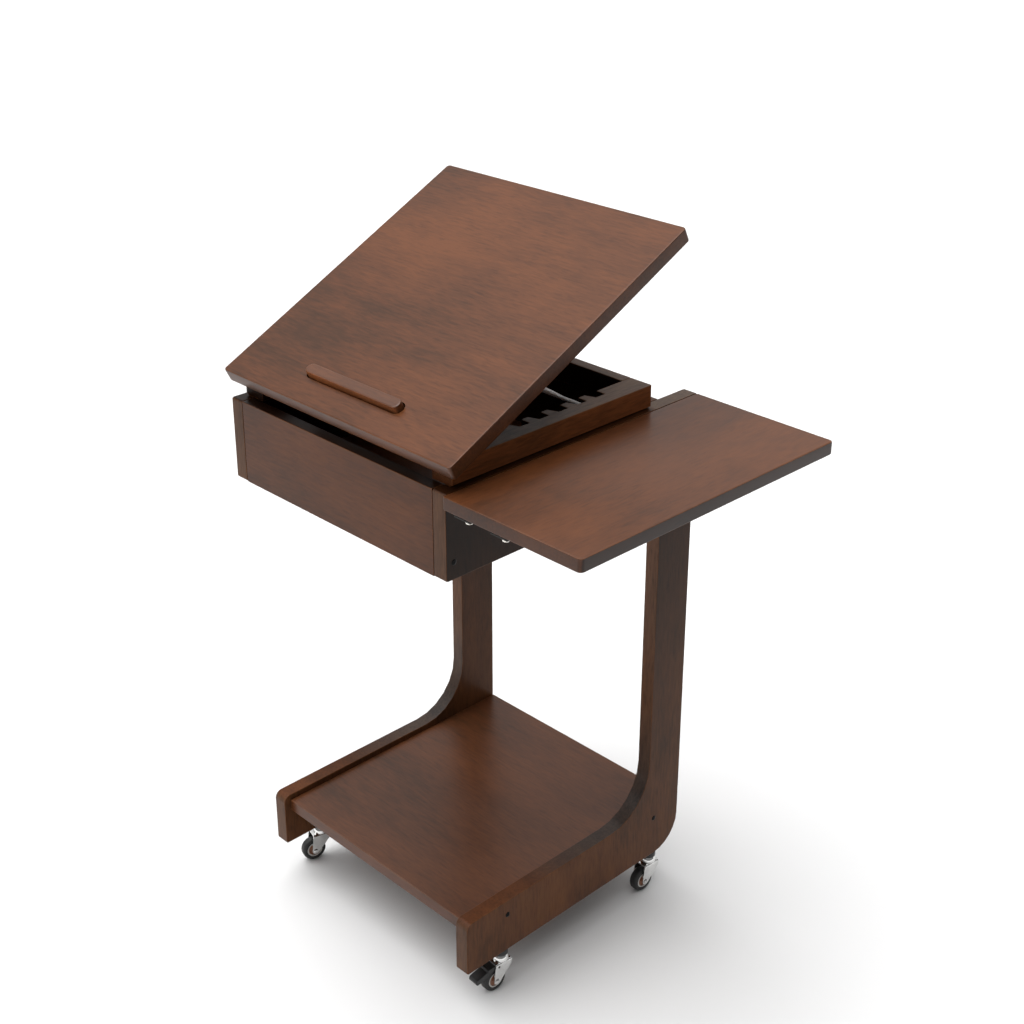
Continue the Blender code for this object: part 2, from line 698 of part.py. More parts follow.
def make_caster(tag, place, yaw, braked, table, looks):
    """Swivel caster with its stem in the runner; its wheel trails to the front when yaw is 0."""
    swivel = empty(f"swivel_{tag}", place, table, (0, 0, yaw))
    axle = empty(f"axle_{tag}_centre", (0, -CASTER_TRAIL, TYRE_RADIUS), swivel)
    make_head(tag, table, place, looks)
    make_fork(tag, swivel, braked, looks["chrome"])
    make_wheel(tag, axle, looks)
    if braked:
        make_pedal(tag, swivel, looks["plastic"])


def make_head(tag, table, place, looks):
    """Race head with stem and king pin, and the black cap between it and the runner."""
    low = FORK_TOP + GAP
    cap_low = low + DOME_RING_HEIGHT
    cap_high = FLOOR_CLEAR - GAP
    plate_low = FORK_TOP - FORK_SHEET - GAP
    profile = [
        (0, FLOOR_CLEAR + STEM_LENGTH),
        (STEM_RADIUS, FLOOR_CLEAR + STEM_LENGTH),
        (STEM_RADIUS, cap_low),
        (DOME_RING_TOP, cap_low),
        (DOME_RING_SHOULDER, low + DOME_SHOULDER_RISE),
        (DOME_RING_RADIUS, low + DOME_SIDE_RISE),
        (DOME_RING_RADIUS, low),
        (KING_PIN, low),
        (KING_PIN, plate_low),
        (KING_HEAD, plate_low),
        (KING_HEAD_TIP, plate_low - KING_HEAD_HEIGHT),
        (0, plate_low - KING_HEAD_HEIGHT),
    ]
    solid(f"caster_head_{tag}", turned(profile, HEAD_SIDES), looks["chrome"], table, place)
    bore = STEM_RADIUS + GAP
    foot = cap_low + GAP
    ring = [(bore, foot), (CAP_RADIUS, foot), (CAP_RADIUS, cap_high - GAP), (CAP_RADIUS - GAP, cap_high)]
    ring.append((bore, cap_high))
    solid(f"caster_cap_{tag}", turned(ring, HEAD_SIDES, ring=True), looks["plastic"], table, place)


def fork_side():
    """Side view of a fork: wide at the top, with arms that taper down to the axle."""
    toe = (-CASTER_TRAIL, TYRE_RADIUS)
    front = [(-FORK_FRONT, FORK_TOP), (-FORK_FRONT - FORK_SHEET, FORK_SHOULDER)]
    end = arc(toe, FORK_TOE, FORK_TOE_START, FORK_TOE_END)
    return front + end + [(FORK_BACK, FORK_SHOULDER), (FORK_BACK, FORK_TOP)]


def make_fork(tag, swivel, braked, chrome):
    """Bent sheet fork: a channel trimmed to the side view, with its holes."""
    inner = FORK_INNER / 2
    outer = inner + FORK_SHEET
    channel = rounded([
        (-outer, 0, 0), (-outer, FORK_TOP, FORK_BEND), (outer, FORK_TOP, FORK_BEND),
        (outer, 0, 0), (inner, 0, 0), (inner, FORK_TOP - FORK_SHEET, FORK_INNER_BEND),
        (-inner, FORK_TOP - FORK_SHEET, FORK_INNER_BEND), (-inner, 0, 0),
    ])
    reach = CASTER_TRAIL + FORK_FRONT
    fork = prism(channel, -reach, reach, Y_AXIS, X_AXIS, Z_AXIS)
    fork = solid(f"caster_fork_{tag}", fork, chrome, swivel)
    trim = side_prism(fork_side(), -outer - CUT_PAST, outer + CUT_PAST)
    trim = solid(f"fork_trim_{tag}", trim, chrome, swivel)
    boolean(fork, trim, "INTERSECT")
    king = rod(KING_PIN + GAP, FORK_TOP - FORK_SHEET - CUT_PAST, FORK_TOP + CUT_PAST)
    cut(fork, f"fork_king_hole_{tag}", king)
    holes = {"axle": ((-CASTER_TRAIL, TYRE_RADIUS), AXLE_RADIUS)}
    if braked:
        holes["pedal"] = (PEDAL_PIVOT, PEDAL_TRUNNION)
    for kind, ((y, z), radius) in holes.items():
        hole = rod(radius + GAP, -outer - CUT_PAST, outer + CUT_PAST, along=X_AXIS)
        bmesh.ops.translate(hole, verts=hole.verts, vec=(0, y, z))
        cut(fork, f"fork_{kind}_hole_{tag}", hole)


def make_wheel(tag, axle, looks):
    """Axle rivet, hub with a raised rim and boss, and the tyre on it."""
    arm = FORK_INNER / 2 + FORK_SHEET + GAP
    tip = arm + AXLE_HEAD_HEIGHT
    half = [(AXLE_HEAD_TIP, tip), (AXLE_HEAD, arm + GAP), (AXLE_HEAD, arm), (AXLE_RADIUS, arm)]
    mirrored = [(radius, -height) for radius, height in reversed(half)]
    rivet = [(0, tip)] + half + mirrored + [(0, -tip)]
    solid(f"caster_axle_{tag}", turned(rivet, RIVET_SIDES, X_AXIS), looks["chrome"], axle)
    rim = TYRE_RADIUS - TYRE_WALL - GAP
    boss = FORK_INNER / 2 - HUB_SIDE_CLEAR
    face = [
        (rim, HUB_RIM_WIDTH / 2), (rim - HUB_RIM, HUB_RIM_WIDTH / 2), (rim - HUB_RIM, HUB_WEB / 2),
        (HUB_BOSS, HUB_WEB / 2), (HUB_BOSS, boss), (AXLE_RADIUS + GAP, boss),
    ]
    hub = face + [(radius, -height) for radius, height in reversed(face)]
    solid(f"wheel_hub_{tag}", turned(hub, WHEEL_SIDES, X_AXIS, ring=True), looks["hub"], axle)
    inside = TYRE_RADIUS - TYRE_WALL
    wide = TYRE_WIDTH / 2
    tread = [(r, h) for h, r in rounded([
        (-wide, inside, 0), (-wide, TYRE_RADIUS, TYRE_SHOULDER),
        (wide, TYRE_RADIUS, TYRE_SHOULDER), (wide, inside, 0),
    ])]
    solid(f"wheel_tyre_{tag}", turned(tread, WHEEL_SIDES, X_AXIS, ring=True), looks["tyre"], axle)


def pedal_side():
    """Side view of the brake pedal about its pivot: two steps on top, a shoe over the tyre."""
    tip = -PEDAL_REACH
    low = -PEDAL_TIP_LOW
    shoe_centre = (-CASTER_TRAIL - PEDAL_PIVOT[0], TYRE_RADIUS - PEDAL_PIVOT[1])
    shoe = arc(shoe_centre, TYRE_RADIUS + PEDAL_CLEAR, SHOE_START, SHOE_END)
    lip = PEDAL_LIP
    top = FORK_TOP - FORK_SHEET - PEDAL_PIVOT[1] - lip / 2
    step = -PEDAL_STEP
    high = -PEDAL_TIP_HIGH
    return shoe + [
        (1.5 * lip, top - lip / 2), (lip / 2, top), (step, top - lip / 2), (step - lip, top - 2 * lip),
        (tip + lip, high), (tip, high - 1.5 * lip), (tip, low + lip), (tip + lip, low),
    ]


def make_pedal(tag, swivel, plastic):
    """Brake pedal between the fork arms, on trunnions in the arms' holes, pressed to lock."""
    pivot = empty(f"pedal_{tag}_pivot", (0, *PEDAL_PIVOT), swivel)
    half = FORK_INNER / 2 - PEDAL_CLEAR
    pedal = solid(f"brake_pedal_{tag}", side_prism(pedal_side(), -half, half), plastic, pivot)
    end = FORK_INNER / 2 + FORK_SHEET - GAP
    add(pedal, f"pedal_trunnion_{tag}", rod(PEDAL_TRUNNION, -end, end, along=X_AXIS))


def main():
    clear_scene()
    wood = principled("walnut_stain", (0.075, 0.032, 0.019), 0.38)
    steel = principled("zinc_steel", (0.56, 0.55, 0.53), 0.35, 1.0)
    looks = {
        "chrome": principled("chrome", (0.80, 0.80, 0.79), 0.12, 1.0),
        "plastic": principled("black_plastic", (0.012, 0.012, 0.012), 0.45),
        "hub": principled("hub_brown", (0.36, 0.20, 0.13), 0.45),
        "tyre": principled("black_rubber", (0.014, 0.014, 0.013), 0.60),
    }
    table = empty("table", (-CENTRE_X, -CENTRE_Y, 0))
    board_axis = empty("board_axis", BOARD_AXIS, table, (BOARD_TILT, 0, 0))
    leaf_axis = empty("leaf_axis", FLAP_AXIS, table)

    make_side_frame("side_frame_left", 0, table, wood)
    make_side_frame("side_frame_right", TABLE_WIDTH - FRAME_THICK, table, wood)
    make_panels(table, wood)
    make_side_rail("rail_left", RAIL_INSET, 1, table, wood)
    make_side_rail("rail_right", TABLE_WIDTH - RAIL_INSET, -1, table, wood)
    make_cross_rails(table, wood)

    make_board(board_axis, wood)
    make_stop(board_axis, wood, looks["plastic"])
    make_board_hinges(table, board_axis, steel)
    make_prop(table, board_axis, looks["chrome"], steel)
    make_leaf(leaf_axis, wood)
    make_leaf_hinges(table, leaf_axis, steel)

    left = FRAME_THICK / 2
    right = TABLE_WIDTH - FRAME_THICK / 2
    places = {
        "front_left": (left, CASTER_FRONT, 0),
        "front_right": (right, CASTER_FRONT, 0),
        "rear_left": (left, CASTER_BACK, 0),
        "rear_right": (right, CASTER_BACK, 0),
    }
    for tag, place in places.items():
        make_caster(tag, place, CASTER_YAW[tag], tag in BRAKED, table, looks)


main()
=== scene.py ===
"""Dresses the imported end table: stained wood, chrome, zinc, plastic, rubber and small screws.

Metres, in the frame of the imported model: +Z up, +X to the side of the leaf, +Y to the uprights.
"""

import json
import math

import bmesh
import bpy
from mathutils import Matrix, Vector

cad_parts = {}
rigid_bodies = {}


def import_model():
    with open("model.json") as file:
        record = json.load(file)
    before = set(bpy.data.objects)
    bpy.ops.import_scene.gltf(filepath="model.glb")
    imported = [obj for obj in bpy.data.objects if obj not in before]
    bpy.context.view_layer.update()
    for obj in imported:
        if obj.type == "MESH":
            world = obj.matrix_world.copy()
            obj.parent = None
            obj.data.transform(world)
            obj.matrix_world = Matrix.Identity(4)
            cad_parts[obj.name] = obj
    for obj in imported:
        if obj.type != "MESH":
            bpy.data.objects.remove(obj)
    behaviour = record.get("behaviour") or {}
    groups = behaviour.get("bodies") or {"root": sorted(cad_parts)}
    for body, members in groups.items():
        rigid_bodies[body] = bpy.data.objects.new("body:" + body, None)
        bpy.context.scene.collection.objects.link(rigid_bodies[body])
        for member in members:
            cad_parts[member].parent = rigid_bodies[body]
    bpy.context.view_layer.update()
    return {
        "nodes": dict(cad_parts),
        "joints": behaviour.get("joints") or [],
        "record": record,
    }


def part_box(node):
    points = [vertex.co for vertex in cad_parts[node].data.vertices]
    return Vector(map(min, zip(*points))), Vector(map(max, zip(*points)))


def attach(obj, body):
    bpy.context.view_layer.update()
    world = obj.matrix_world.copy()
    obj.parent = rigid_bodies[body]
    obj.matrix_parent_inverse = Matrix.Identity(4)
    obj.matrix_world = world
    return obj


LEFT, RIGHT = (-1, 0, 0), (1, 0, 0)
FRONT, BACK = (0, -1, 0), (0, 1, 0)
DOWN, UP = (0, 0, -1), (0, 0, 1)

# Camera of the photograph
CAMERA_PLACE = (1.13125, -1.1123, 1.3058)
CAMERA_TURN = (math.radians(66.02), 0, math.radians(45.767))
CAMERA_LENS = 58.23
CAMERA_SENSOR = 36
CAMERA_SHIFT = -0.06
CAMERA_REACH = 100

# Noise values mostly lie in this range, noise colours about this middle
NOISE_RANGE = (0.3, 0.7)
NOISE_MIDDLE = (0.5, 0.5, 0.5)

# Tint that changes nothing
WHITE = (1, 1, 1, 1)

# Wood colours as linear values, and the level of stain at which each is reached
DARK_STAIN = (0.056, 0.021, 0.0082)
MIDDLE_STAIN = (0.098, 0.0325, 0.0115)
LIGHT_STAIN = (0.138, 0.045, 0.0145)
STAIN_STOPS = ((0.05, DARK_STAIN), (0.48, MIDDLE_STAIN), (0.95, LIGHT_STAIN))

# Patterns of the wood: scale, stretch along the grain, detail and roughness of the noise
BLOTCH_NOISE = (8.5, 0.6, 2.0, 0.45)
CLOUD_NOISE = (26.0, 0.42, 3.0, 0.55)
FIBRE_NOISE = (340.0, 0.13, 2.0, 0.6)
PORE_NOISE = (480.0, 0.13, 1.0, 0.5)
FIGURE_BANDS = {"Scale": 11.0, "Distortion": 7.0, "Detail": 2.0, "Detail Scale": 1.2}
FIGURE_STRETCH = 0.16
PLANK = 0.085

# What each pattern adds to the level of stain, at its least and at its most
BLOTCH_STAIN = (0.02, 0.60)
CLOUD_STAIN = (-0.04, 0.28)
FIGURE_STAIN = (0.0, 0.09)
FIBRE_STAIN = (-0.17, 0.23)
PLANK_STAIN = (0.0, 0.10)

# Pores: range of the noise that darkens, how much it leaves of the colour, depth in the relief
PORE_RANGE = (0.30, 0.44)
PORE_LEAVES = (0.82, 1.0)
PORE_DEPTH = 0.6

# The grain is pushed to and fro by up to half of this
WANDER = 0.006
WANDER_NOISE = {"Scale": 14.0, "Detail": 1.0}

# Worn edges with a painted highlight: colour of bare wood and painted highlight, radius, bend of the
# normal from no wear to full wear, share of bare wood
EDGE_WEAR_HIGHLIGHT = (0.23, 0.088, 0.032, 1)
WEAR_HIGHLIGHT_RADIUS = 0.0019
WEAR_HIGHLIGHT_BEND = (0.985, 0.80)
WEAR_HIGHLIGHT_SHARE = (0.25, 0.85)
WEAR_HIGHLIGHT_SAMPLES = 6

# Lacquer: roughness range; from 0.25 to 0.32 the roughness gives islands in denoised renders
LACQUER = (0.285, 0.335)
WOOD_BUMP = (0.06, 0.0002)

# Painted shade and light of the box and its rails: painted shade inside, painted light and a painted sheen
# tint on a rail, depth of its top, and how its top and its ends blend
INSIDE_SHADE = 0.12
TOP_SHEEN_TINT = (1.0, 2.0, 4.2, 1)
RAIL_PAINTED_LIGHT = {"outside": 1.7, "top": 1.5, "top_tint": TOP_SHEEN_TINT}
RAIL_LID = 0.003
LID_BLEND = 0.001
END_BLEND = (0.001, 0.002)

# Painted light on the front of the stop bar, which looks along the slope of the board
STOP_FRONT_LIGHT = 2.6
STOP_LOOK = (0, -0.894, -0.447)

# Stain and painted light and shade of the side frames: sawn edges from the front of the runner to the
# armpit and up the leg (painted lighter there), tops beside (painted shade) and behind (painted light) the
# rails, right faces from the runner up to the box (painted shade at the box), left faces
EDGE_FRONT, EDGE_ARMPIT, EDGE_LEG, EDGE_BOX = 1.4, 0.75, 1.95, 1.25
TOP_SHADE_BESIDE, TOP_LIGHT_BEHIND = 0.4, 1.6
BROAD_LOW, BROAD_HIGH, BROAD_LEFT = 1.55, 0.2, 1.3
# Painted grey sheen: tints of the armpit, the front-looking edges and the broad faces
ARMPIT_SHEEN_TINT = (1.15, 2.4, 5.5, 1)
EDGE_SHEEN_TINT = (1.05, 1.55, 2.5, 1)
BROAD_SHEEN_TINT = (1.0, 1.18, 1.35, 1)

# Where these stains, painted light and painted shade blend: along Y for runner, armpit and rail end, along
# Z for the others
RUNNER_BLEND = (-0.14, 0.03)
ARMPIT_BLEND = (-0.06, 0.05)
LEG_BLEND = (0.15, 0.26)
BOX_BLEND = (0.50, 0.54)
TOP_BLEND = (0.634, 0.637)
BROAD_BLEND = (0.10, 0.58)
RAIL_END_BLEND = 0.004

# How far a face has to look one way, from none of that side's painted light, shade or stain to all of it
LOOKS_OUT = (0.35, 0.6)
LOOKS_BROAD = (0.45, 0.75)
LOOKS_ALONG = (0.5, 0.9)
LOOKS_NARROW = (0.6, 0.9)
LOOKS_SLOPED = (0.55, 0.85)

# Metals: colours, smears, brushing and how dull a smear is
CHROME = (0.82, 0.82, 0.81, 1)
ZINC = (0.58, 0.57, 0.55, 1)
STRAP = (0.90, 0.87, 0.80, 1)
BLACK_STEEL = (0.012, 0.012, 0.012, 1)
DARK_PLATE = ((0.035, 0.033, 0.03, 1), (0.02, 0.019, 0.018, 1))
SMEAR_NOISE = {"scale": 95.0, "detail": 3.0, "roughness": 0.6}
SMEAR_RANGE = (0.35, 0.75)
SMEAR_DULL = 0.80
BRUSH_NOISE = {"stretch": (1, 1, 0.08), "detail": 2.0, "roughness": 0.6}
BRUSH_BUMP = (0.08, 0.0001)

# Height of the straps' underside above the leaf's pivot; only their screws lie below it
STRAP_RISE = 0.0014
STRAP_BLEND = 0.0001

# Wire, plastic and rubber: clean and dusty colours, dust and how it spreads the roughness, skin
WIRE_WHITE = ((0.95, 0.95, 0.94, 1), (0.90, 0.90, 0.89, 1))
PLASTIC = ((0.012, 0.012, 0.012, 1), (0.028, 0.027, 0.026, 1))
RUBBER = ((0.013, 0.013, 0.013, 1), (0.036, 0.034, 0.032, 1))
DUST_NOISE = {"scale": 120.0, "detail": 4.0, "roughness": 0.65}
DUST_RANGE = (0.45, 0.8)
DUST_SMOOTHER, DUST_ROUGHER = 0.06, 0.08
SKIN_BUMP = (0.25, 0.0002)

# Wheel hubs: radius at which the brown plastic ends, colours, roughness and skin
HUB_RIM = 0.0081
HUB_BLEND = 0.0001
HUB_BROWN = ((0.36, 0.17, 0.10, 1), (0.27, 0.12, 0.07, 1))
HUB_PALE = ((0.62, 0.60, 0.57, 1), (0.52, 0.50, 0.47, 1))
HUB_NOISE = {"scale": 240.0, "detail": 3.0}
HUB_ROUGHNESS = (0.34, 0.46)
HUB_SKIN = 900.0
HUB_BUMP = (0.15, 0.0001)

# Smoothing: edges flatter than the limit are rounded, points closer than a weld are joined,
# and the weight keeps large faces flat
SMOOTH_LIMIT = math.radians(32)
WELD = 1e-6
SPIN_WELD = 1e-7
FLAT_WEIGHT = 100

# Screws: radius and height of the head, profile and cross in shares of these, turn of the cross
SCREW_RADIUS = 0.0032
SCREW_HEIGHT = 0.0007
SCREW_PROFILE = ((0, 1), (0.75, 0.85), (0.92, 0.45), (1, 0), (1, -1), (0, -1))
SCREW_SIDES = 24
SCREW_SHARP = math.radians(35)
CROSS_LONG, CROSS_WIDE, CROSS_DEEP = 1.15, 0.26, 1.6
TURN_RIGHT, TURN_LEFT = 0.35, 1.0

# Seats of the screws: distance behind the front of the side frame, and height
SCREW_SEATS = {
    "shelf_front": (0.081, 0.100),
    "shelf_rear": (0.323, 0.104),
    "panel_front": (0.010, 0.563),
    "panel_rear": (0.316, 0.563),
}

# Floor, which lies a little below the wheels
FLOOR_TONES = ((0.76, 0.76, 0.76, 1), (0.74, 0.74, 0.74, 1))
FLOOR_NOISE = {"scale": 0.4, "detail": 1.0}
FLOOR_ROUGHNESS = 0.9
FLOOR_GLOSS = 0.1
FLOOR_RADIUS = 25
FLOOR_SIDES = 64
FLOOR_DROP = 0.0003

# Sky: brightness at the horizon, extra brightness overhead and how tightly it gathers there
SKY_LOW = 0.20
SKY_HIGH = 6.2
SKY_POWER = 8
SKY_WAY = (-0.13, -0.10, 0.98)
BACKDROP = (0.97, 0.97, 0.97, 1)

# Soft glow behind and to the left, which the tops mirror
GLOW = 0.48
GLOW_WAY = (-0.64, 0.64, 0.42)
GLOW_RANGE = (0.55, 0.95)

# Soft sun
SUN_PLACE = (-1.0, -1.7, 2.2)
SUN_STRENGTH = 0.66
SUN_ANGLE = math.radians(50)


def add_node(tree, kind, inputs=None, **settings):
    """Adds a node; an input is a plain value or the socket it is linked to."""
    node = tree.nodes.new(kind)
    for key, value in settings.items():
        setattr(node, key, value)
    for key, value in (inputs or {}).items():
        if isinstance(value, bpy.types.NodeSocket):
            tree.links.new(value, node.inputs[key])
        else:
            node.inputs[key].default_value = value
    return node


def blank(name):
    """New material with its node tree and shader."""
    material = bpy.data.materials.new(name)
    material.use_nodes = True
    tree = material.node_tree
    return material, tree, tree.nodes["Principled BSDF"]


def object_place(tree):
    """Place on the object, which is the place in the model at rest."""
    return add_node(tree, "ShaderNodeTexCoord").outputs["Object"]


def split(tree, vector):
    """The three parts of a vector."""
    return add_node(tree, "ShaderNodeSeparateXYZ", {0: vector}).outputs


def noise(tree, place, scale, stretch=(1, 1, 1), detail=2.0, roughness=0.5, shift=(0, 0, 0)):
    """Noise value; stretch scales the axes, so a small number makes long streaks."""
    moved = add_node(tree, "ShaderNodeMapping", {"Vector": place, "Scale": stretch, "Location": shift})
    settings = {"Vector": moved.outputs[0], "Scale": scale, "Detail": detail, "Roughness": roughness}
    return add_node(tree, "ShaderNodeTexNoise", settings).outputs["Fac"]


def spread(tree, value, low, high, to_low=0.0, to_high=1.0):
    """Maps a value from one range to another and stops at its ends."""
    settings = {"Value": value, "From Min": low, "From Max": high, "To Min": to_low, "To Max": to_high}
    return add_node(tree, "ShaderNodeMapRange", settings).outputs[0]


def blend(tree, factor, first, second):
    """A value between two others."""
    return spread(tree, factor, 0.0, 1.0, first, second)


def math_node(tree, operation, first, second=0.0):
    """Result of an operation on one or two values."""
    node = add_node(tree, "ShaderNodeMath", {0: first, 1: second}, operation=operation)
    return node.outputs[0]


def vector_node(tree, operation, inputs, output=0):
    """Result of an operation on vectors."""
    return add_node(tree, "ShaderNodeVectorMath", inputs, operation=operation).outputs[output]


def mix_colour(tree, factor, first, second, blend_type="MIX"):
    """A colour between two others, or their product; 6, 7 and 2 are the node's colour sockets."""
    settings = {"Factor": factor, 6: first, 7: second}
    node = add_node(tree, "ShaderNodeMix", settings, data_type="RGBA", blend_type=blend_type)
    return node.outputs[2]


def multiply(tree, first, second):
    """Product of two colours."""
    return mix_colour(tree, 1.0, first, second, "MULTIPLY")


def ramp(tree, value, stops):
    """Colour ramp from (position, colour) stops."""
    node = add_node(tree, "ShaderNodeValToRGB", {"Fac": value})
    elements = node.color_ramp.elements
    while len(elements) < len(stops):
        elements.new(0.5)
    for element, (position, colour) in zip(elements, stops):
        element.position = position
        element.color = colour
    return node.outputs["Color"]


def scaled(colour, factor):
    """A colour made lighter or darker, with full cover."""
    return tuple(part * factor for part in colour[:3]) + (1,)


def bump(tree, shader, height, strength, distance):
    """Gives the shader fine relief."""
    settings = {"Height": height, "Strength": strength, "Distance": distance}
    node = add_node(tree, "ShaderNodeBump", settings)
    tree.links.new(node.outputs[0], shader.inputs["Normal"])


def edge_mask(tree):
    """One along sharp edges, zero on flats."""
    soft = add_node(tree, "ShaderNodeBevel", {"Radius": WEAR_HIGHLIGHT_RADIUS}, samples=WEAR_HIGHLIGHT_SAMPLES).outputs[0]
    true = add_node(tree, "ShaderNodeNewGeometry").outputs["Normal"]
    return spread(tree, along(tree, soft, true), *WEAR_HIGHLIGHT_BEND)


def grey(tree, value):
    """Grey colour of a value."""
    return add_node(tree, "ShaderNodeCombineColor", {0: value, 1: value, 2: value}).outputs[0]


def along(tree, vector, axis):
    """Length of a vector along an axis."""
    return vector_node(tree, "DOT_PRODUCT", {0: vector, 1: axis}, "Value")


def facing(tree, axis):
    """How far a face looks along an axis of the object, from -1 to 1."""
    return along(tree, add_node(tree, "ShaderNodeTexCoord").outputs["Normal"], axis)


def frame_stain_and_painted_light(tree):
    """Stain and painted light and shade of a side frame: its sawn edges are darkest in the armpit, with a
    painted grey sheen there, and painted lighter up the leg; its tops are in painted shade beside the
    rails; its right face is in painted shade at the box.
    """
    axes = split(tree, object_place(tree))
    # Sawn edges darker towards the armpit and painted lighter up the leg
    runner = spread(tree, axes[1], *RUNNER_BLEND, EDGE_FRONT, EDGE_ARMPIT)
    leg = spread(tree, axes[2], *LEG_BLEND, runner, EDGE_LEG)
    box = spread(tree, axes[2], *BOX_BLEND, leg, EDGE_BOX)
    upward = spread(tree, facing(tree, UP), *LOOKS_ALONG)
    top = math_node(tree, "MULTIPLY", spread(tree, axes[2], *TOP_BLEND), upward)
    rail_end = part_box("rail_right")[1].y
    behind = spread(tree, axes[1], rail_end - RAIL_END_BLEND, rail_end + RAIL_END_BLEND)
    # Painted shade on the tops beside the rails, painted light on those behind them
    edge = blend(tree, top, box, blend(tree, behind, TOP_SHADE_BESIDE, TOP_LIGHT_BEHIND))
    # Painted light on the broad faces low down, painted shade up at the box
    face = spread(tree, axes[2], *BROAD_BLEND, BROAD_LOW, BROAD_HIGH)
    right = spread(tree, facing(tree, RIGHT), *LOOKS_BROAD)
    left = spread(tree, facing(tree, LEFT), *LOOKS_BROAD)
    level = blend(tree, right, blend(tree, left, edge, BROAD_LEFT), face)
    front = spread(tree, facing(tree, FRONT), *LOOKS_ALONG)
    armpit = spread(tree, axes[2], *LEG_BLEND, spread(tree, axes[1], *ARMPIT_BLEND), 0.0)
    # Painted grey sheen on the front-looking edges, the armpit, the tops behind the rails and the broad
    # faces
    tint = mix_colour(tree, front, WHITE, EDGE_SHEEN_TINT)
    tint = mix_colour(tree, armpit, tint, ARMPIT_SHEEN_TINT)
    tint = mix_colour(tree, math_node(tree, "MULTIPLY", top, behind), tint, TOP_SHEEN_TINT)
    tint = mix_colour(tree, math_node(tree, "MAXIMUM", left, right), tint, BROAD_SHEEN_TINT)
    return multiply(tree, grey(tree, level), tint)


def painted_shade_sides(side, front):
    """Painted shade: narrow sides and front of a board, painted darker than its top."""
    def shade(tree):
        beside = math_node(tree, "ABSOLUTE", facing(tree, RIGHT))
        level = spread(tree, facing(tree, FRONT), *LOOKS_NARROW, 1.0, front)
        return grey(tree, spread(tree, beside, *LOOKS_NARROW, level, side))
    return shade


def painted_front_light(tree):
    """Painted light: the stop bar's front is painted paler than its top."""
    return grey(tree, spread(tree, facing(tree, STOP_LOOK), *LOOKS_SLOPED, 1.0, STOP_FRONT_LIGHT))


def painted_box_shade(outward, outside=1.0, top=1.0, front=None, rear=None, lid=0.0, top_tint=WHITE):
    """Painted shade: faces that look into the box are painted nearly black, but not a rail's top above lid
    and its ends, which get painted light, with a painted grey sheen on the top.
    """
    near, far = END_BLEND

    def shade(tree):
        # Painted shade on faces that look into the box, painted light on those that look out
        level = spread(tree, facing(tree, outward), *LOOKS_OUT, INSIDE_SHADE, outside)
        axes = split(tree, object_place(tree))
        high = spread(tree, axes[2], lid, lid + LID_BLEND)
        above = math_node(tree, "MULTIPLY", high, spread(tree, facing(tree, UP), *LOOKS_OUT))
        level = math_node(tree, "MAXIMUM", level, blend(tree, above, INSIDE_SHADE, top))
        if front is not None:
            end = spread(tree, axes[1], front + near, front + far, 1.0, 0.0)
            level = math_node(tree, "MAXIMUM", level, end)
        if rear is not None:
            end = spread(tree, axes[1], rear - far, rear - near, 0.0, outside)
            level = math_node(tree, "MAXIMUM", level, end)
        # Painted grey sheen on a rail's top
        tint = mix_colour(tree, above, WHITE, top_tint)
        return multiply(tree, grey(tree, level), tint)
    return shade


def rail_painted_shade(name, outward, front=None):
    """Painted shade and light of a rail: its notches are painted dark below its top, its outside, top and
    rear end painted lighter.
    """
    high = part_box(name)[1]
    return painted_box_shade(outward, front=front, rear=high.y, lid=high.z - RAIL_LID, **RAIL_PAINTED_LIGHT)


def wander(tree, place, shift):
    """Places pushed a little to and fro, so that the grain isn't ruled straight."""
    moved = add_node(tree, "ShaderNodeMapping", {"Vector": place, "Location": shift})
    settings = {"Vector": moved.outputs[0], **WANDER_NOISE}
    drift = add_node(tree, "ShaderNodeTexNoise", settings).outputs["Color"]
    centred = vector_node(tree, "SUBTRACT", {0: drift, 1: NOISE_MIDDLE})
    push = vector_node(tree, "SCALE", {0: centred, "Scale": WANDER})
    return vector_node(tree, "ADD", {0: place, 1: push})


